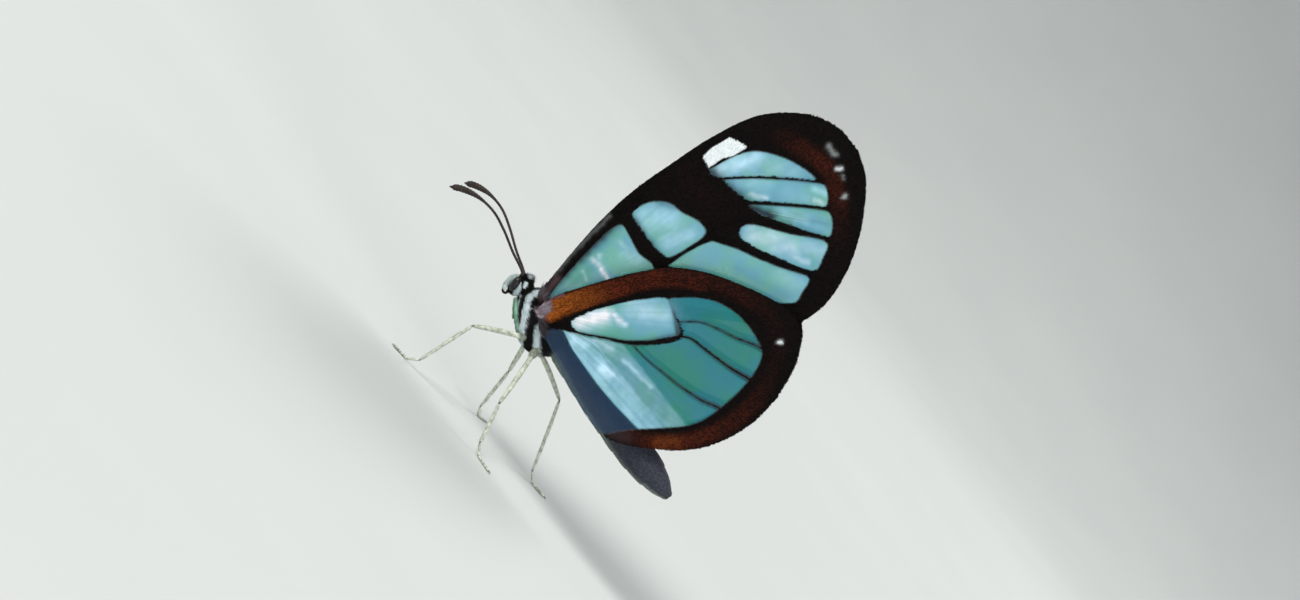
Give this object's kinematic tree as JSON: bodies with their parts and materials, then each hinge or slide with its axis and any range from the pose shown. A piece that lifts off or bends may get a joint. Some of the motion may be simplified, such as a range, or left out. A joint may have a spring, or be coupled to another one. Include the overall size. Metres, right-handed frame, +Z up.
{
  "type": "glasswing butterfly",
  "caption": "Life-size clear-winged butterfly standing with its wings closed over its back, for display.",
  "frame": {"origin": "on the floor under the middle of the whole animal", "axes": "+X from the head to the tail, +Y to the animal's right, +Z up"},
  "size_m": [0.031, 0.0126, 0.0389],
  "materials": {
    "body": "matte",
    "abdomen": "satin",
    "eye": "gloss",
    "wing": "satin",
    "leg": "satin",
    "antenna": "satin"
  },
  "bodies": {
    "root": {"thorax": "body", "abdomen": "abdomen", "head": "body", "eye_left": "eye", "eye_right": "eye", "antenna_left": "antenna", "antenna_right": "antenna", "palp_left": "leg", "palp_right": "leg", "proboscis": "antenna", "foreleg_left": "leg", "foreleg_right": "leg", "midleg_left": "leg", "midleg_right": "leg", "hindleg_left": "leg", "hindleg_right": "leg", "forewing_left": "wing", "forewing_right": "wing", "hindwing_left": "wing", "hindwing_right": "wing"}
  },
  "joints": []
}
